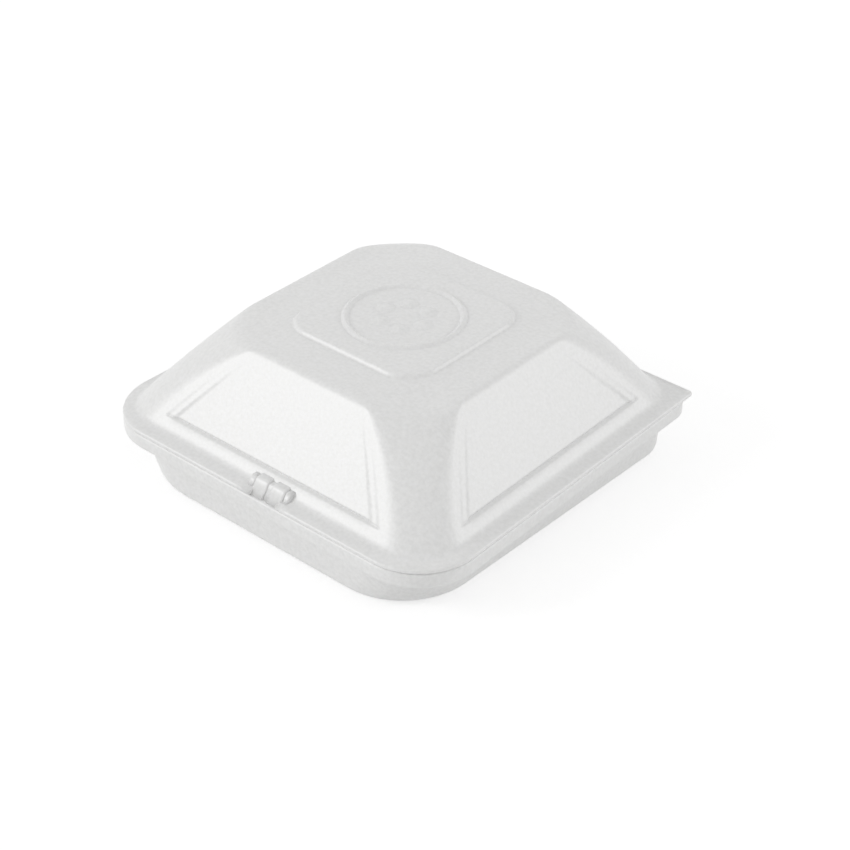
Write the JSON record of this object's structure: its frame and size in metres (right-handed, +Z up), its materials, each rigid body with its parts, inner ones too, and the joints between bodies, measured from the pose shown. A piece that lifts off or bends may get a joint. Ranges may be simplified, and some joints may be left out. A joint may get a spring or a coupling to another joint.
{
  "type": "hinged foam food container",
  "caption": "White foam clamshell food box: shallow tray with a turned-down rim, and a hinged lid with sloping panelled sides, a raised square top and a front lug latch.",
  "frame": {"origin": "middle of the resting face, under the middle of the rim", "axes": "+Z up, the latch faces -Y, the hinge lies along +Y, +X to the right seen from the latch"},
  "size_m": [0.15, 0.143, 0.0564],
  "materials": {
    "foam": "matte foam skin"
  },
  "bodies": {
    "tray": {"tray": "foam"},
    "lid": {"lid": "foam"}
  },
  "joints": [
    {"name": "lid_hinge", "type": "hinge", "parent": "tray", "child": "lid", "pos_m": [0, 0.0715, 0.0214], "axis": [-1, 0, 0], "range_deg": [0, 157]}
  ]
}
